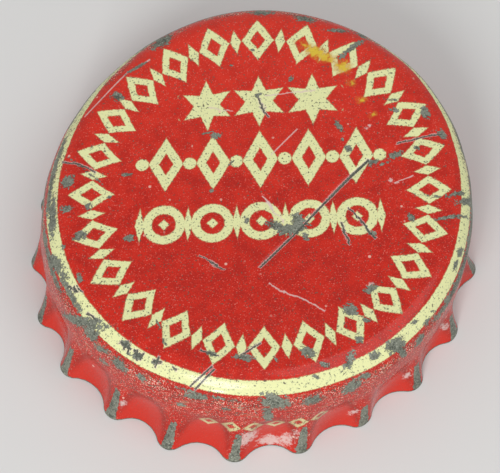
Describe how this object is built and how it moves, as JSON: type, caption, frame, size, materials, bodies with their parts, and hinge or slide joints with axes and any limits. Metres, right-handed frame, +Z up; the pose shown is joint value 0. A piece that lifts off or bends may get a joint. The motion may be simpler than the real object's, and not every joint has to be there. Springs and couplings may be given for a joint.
{
  "type": "bottle cap",
  "caption": "Crimped crown cap with a fluted skirt, a rounded shoulder and a flat panel, and a cork disc held inside it.",
  "frame": {"origin": "on the cap's axis, in the plane of the fluted rim that it stands on", "axes": "+Z up along the cap's axis to the panel, -Y to the front of the picture, one flute crest towards -X"},
  "size_m": [0.0286, 0.0288, 0.0067],
  "materials": {
    "shell": "red litho print over tinplate, worn to grey metal on the crests, the shoulder and the edge",
    "liner": "agglomerated cork, pressed and aged"
  },
  "bodies": {
    "root": {"crown_shell": "shell", "cork_liner": "liner"}
  },
  "joints": []
}
